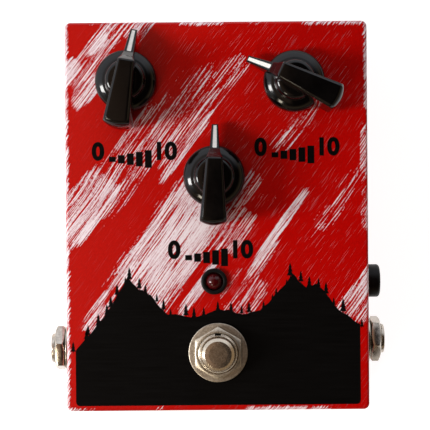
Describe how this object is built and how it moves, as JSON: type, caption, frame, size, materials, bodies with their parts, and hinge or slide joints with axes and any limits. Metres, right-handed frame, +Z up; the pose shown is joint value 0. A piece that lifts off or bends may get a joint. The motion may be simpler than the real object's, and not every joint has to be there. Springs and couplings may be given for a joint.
{
  "type": "delay pedal",
  "caption": "Floor effects pedal: die-cast box with pointer knobs, status light, footswitch, side audio jacks and a power jack.",
  "frame": {"origin": "on the floor under the middle of the box, at the lower faces of the rubber feet", "axes": "+Z up out of the control face, +Y towards the end with the upper knobs, +X to the side with the power jack"},
  "size_m": [0.1052, 0.12, 0.0538],
  "materials": {
    "red_enamel": "gloss enamel with white dry-brushed strokes",
    "zinc_steel": "zinc-plated steel",
    "nickel": "bright nickel plate",
    "brass": "turned brass",
    "black_phenolic": "glossy moulded phenolic",
    "black_plastic": "satin moulded plastic",
    "blue_plastic": "moulded nylon",
    "brown_laminate": "paper laminate",
    "green_laminate": "solder-masked glass laminate",
    "dark_red_epoxy": "dark red tinted epoxy",
    "rubber": "soft moulded rubber",
    "wire_red": "PVC sleeve",
    "wire_white": "PVC sleeve"
  },
  "bodies": {
    "case": {"base_lid": "red_enamel", "capacitor_power": "black_plastic", "circuit_board": "green_laminate", "delay_chip": "black_plastic", "enclosure_shell": "red_enamel", "footswitch_body": "blue_plastic", "footswitch_bush": "nickel", "footswitch_inner_nut": "nickel", "footswitch_nut": "nickel", "footswitch_washer": "nickel", "jack_contact_left": "nickel", "jack_contact_right": "nickel", "jack_frame_left": "nickel", "jack_frame_right": "nickel", "jack_insulator_left": "brown_laminate", "jack_insulator_right": "brown_laminate", "jack_nut_left": "nickel", "jack_nut_right": "nickel", "jack_washer_left": "nickel", "jack_washer_right": "nickel", "led_bezel": "black_plastic", "led_lens": "dark_red_epoxy", "lid_screw_1": "zinc_steel", "lid_screw_2": "zinc_steel", "lid_screw_3": "zinc_steel", "lid_screw_4": "zinc_steel", "opamp_chip": "black_plastic", "pot_bush_level": "zinc_steel", "pot_bush_repeats": "zinc_steel", "pot_bush_time": "zinc_steel", "pot_can_level": "zinc_steel", "pot_can_repeats": "zinc_steel", "pot_can_time": "zinc_steel", "pot_nut_level": "nickel", "pot_nut_repeats": "nickel", "pot_nut_time": "nickel", "pot_washer_level": "zinc_steel", "pot_washer_repeats": "zinc_steel", "pot_washer_time": "zinc_steel", "power_jack_body": "black_plastic", "power_jack_nut": "black_plastic", "power_jack_pin": "nickel", "regulator": "black_plastic", "rubber_foot_1": "rubber", "rubber_foot_2": "rubber", "rubber_foot_3": "rubber", "rubber_foot_4": "rubber", "wire_audio_left": "wire_white", "wire_audio_right": "wire_white", "wire_power": "wire_red"},
    "time_knob": {"knob_time": "black_phenolic", "knob_screw_time": "brass", "pot_shaft_time": "zinc_steel"},
    "level_knob": {"knob_level": "black_phenolic", "knob_screw_level": "brass", "pot_shaft_level": "zinc_steel"},
    "repeats_knob": {"knob_repeats": "black_phenolic", "knob_screw_repeats": "brass", "pot_shaft_repeats": "zinc_steel"},
    "footswitch_button": {"footswitch_plunger": "nickel"}
  },
  "joints": [
    {"name": "time_turn", "type": "hinge", "parent": "case", "child": "time_knob", "pos_m": [-0.0274, 0.0413, 0.0458], "axis": [0, 0, 1], "range_deg": [-140.5, 159.5]},
    {"name": "level_turn", "type": "hinge", "parent": "case", "child": "level_knob", "pos_m": [0.0238, 0.0409, 0.0458], "axis": [0, 0, 1], "range_deg": [-214, 86]},
    {"name": "repeats_turn", "type": "hinge", "parent": "case", "child": "repeats_knob", "pos_m": [-0.0008, 0.0121, 0.0458], "axis": [0, 0, 1], "range_deg": [-148.5, 151.5]},
    {"name": "footswitch_press", "type": "slide", "parent": "case", "child": "footswitch_button", "axis": [0, 0, -1], "range_m": [0, 0.003], "stiffness_N_per_m": 2500, "springref_m": -0.002}
  ]
}
